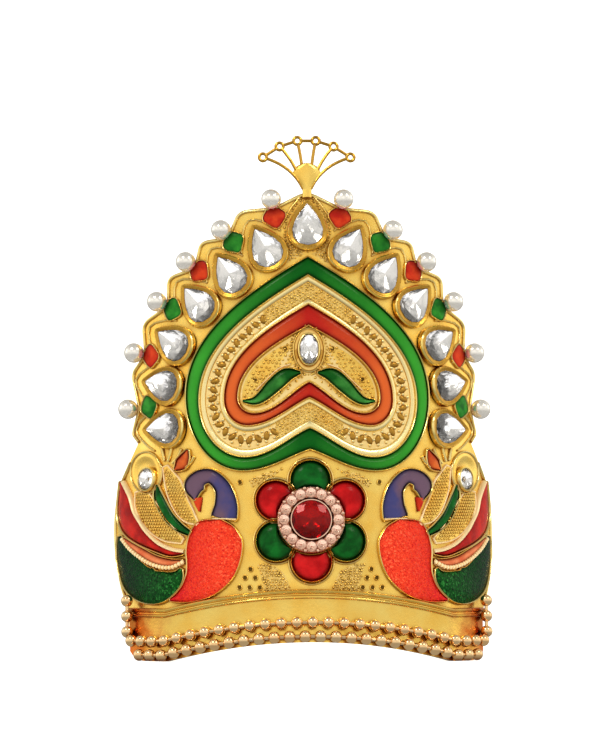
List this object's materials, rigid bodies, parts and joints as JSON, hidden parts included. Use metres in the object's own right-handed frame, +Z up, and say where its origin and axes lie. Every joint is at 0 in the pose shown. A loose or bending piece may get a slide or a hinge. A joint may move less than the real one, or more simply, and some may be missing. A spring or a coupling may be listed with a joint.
{
  "type": "deity crown",
  "caption": "Gilt deity crown: curved scalloped front plate with clear pear stones, pearls, enamel hearts, a flower and peacocks, a ball-chain rim and a pierced fan finial.",
  "frame": {"origin": "on the surface the rim stands on, under the middle of the crown's box", "axes": "+Z up, the front faces -Y, +X to the right as seen from the front"},
  "size_m": [0.1508, 0.0676, 0.2083],
  "materials": {
    "gilt": "polished gilt, stippled grounds",
    "enamel_green": "glossy enamel",
    "enamel_red": "glossy enamel",
    "enamel_blue": "glossy enamel",
    "crystal": "clear cut stone",
    "ruby": "red cut stone",
    "pearl": "white pearl lustre"
  },
  "bodies": {
    "root": {"plate": "gilt", "base_band": "gilt", "ball_chain_lower": "gilt", "ball_chain_upper": "gilt", "finial": "gilt", "pear_stone_top": "crystal", "pear_stone_left_1": "crystal", "pear_stone_left_2": "crystal", "pear_stone_left_3": "crystal", "pear_stone_left_4": "crystal", "pear_stone_left_5": "crystal", "pear_stone_left_6": "crystal", "pear_stone_right_1": "crystal", "pear_stone_right_2": "crystal", "pear_stone_right_3": "crystal", "pear_stone_right_4": "crystal", "pear_stone_right_5": "crystal", "pear_stone_right_6": "crystal", "pearl_left_1": "pearl", "pearl_left_2": "pearl", "pearl_left_3": "pearl", "pearl_left_4": "pearl", "pearl_left_5": "pearl", "pearl_left_6": "pearl", "pearl_right_1": "pearl", "pearl_right_2": "pearl", "pearl_right_3": "pearl", "pearl_right_4": "pearl", "pearl_right_5": "pearl", "pearl_right_6": "pearl", "heart_outer_enamel": "enamel_green", "heart_inner_enamel": "enamel_red", "heart_stone": "crystal", "leaf_left": "enamel_green", "leaf_right": "enamel_green", "peacock_neck_left": "enamel_blue", "peacock_neck_right": "enamel_blue", "peacock_body_left": "enamel_red", "peacock_body_right": "enamel_red", "peacock_wing_left": "enamel_green", "peacock_wing_right": "enamel_green", "peacock_tail_left": "enamel_red", "peacock_tail_right": "enamel_red", "peacock_lining_left": "enamel_red", "peacock_lining_right": "enamel_red", "peacock_crest_left": "enamel_red", "peacock_crest_right": "enamel_red", "peacock_plume_left": "enamel_green", "peacock_plume_right": "enamel_green", "peacock_eye_stone_left": "crystal", "peacock_eye_stone_right": "crystal", "flower_ruby": "ruby", "flower_halo": "crystal", "flower_petal_1": "enamel_green", "flower_petal_2": "enamel_red", "flower_petal_3": "enamel_green", "flower_petal_4": "enamel_red", "flower_petal_5": "enamel_green", "flower_petal_6": "enamel_red"}
  },
  "joints": []
}
